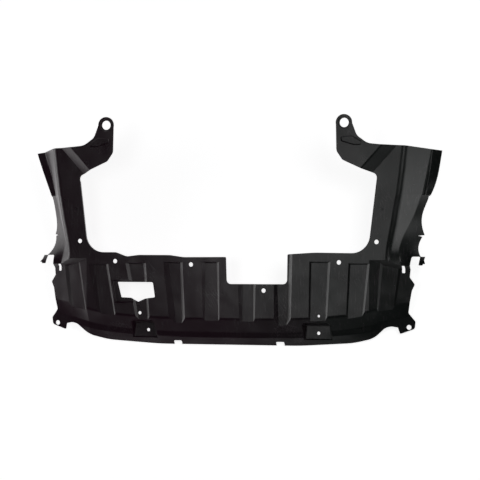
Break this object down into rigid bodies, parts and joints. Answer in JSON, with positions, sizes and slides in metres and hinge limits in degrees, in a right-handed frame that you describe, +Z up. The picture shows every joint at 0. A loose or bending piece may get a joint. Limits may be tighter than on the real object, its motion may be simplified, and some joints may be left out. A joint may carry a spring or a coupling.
{
  "type": "engine splash shield",
  "caption": "Thin moulded shield that closes the underside of a car's engine bay: a ribbed pan with a stepped front edge, two side arms with wheel-arch walls, and raised fixing ears.",
  "frame": {"origin": "middle of the bounding box, at the level of the floor that the sheet lies on", "axes": "+X across the car, +Y to the rear of the car, +Z up, with the road side of the sheet up"},
  "size_m": [1.159, 0.5996, 0.1775],
  "materials": {
    "shield": "satin moulded polypropylene"
  },
  "bodies": {
    "root": {"splash_shield": "shield"}
  },
  "joints": []
}
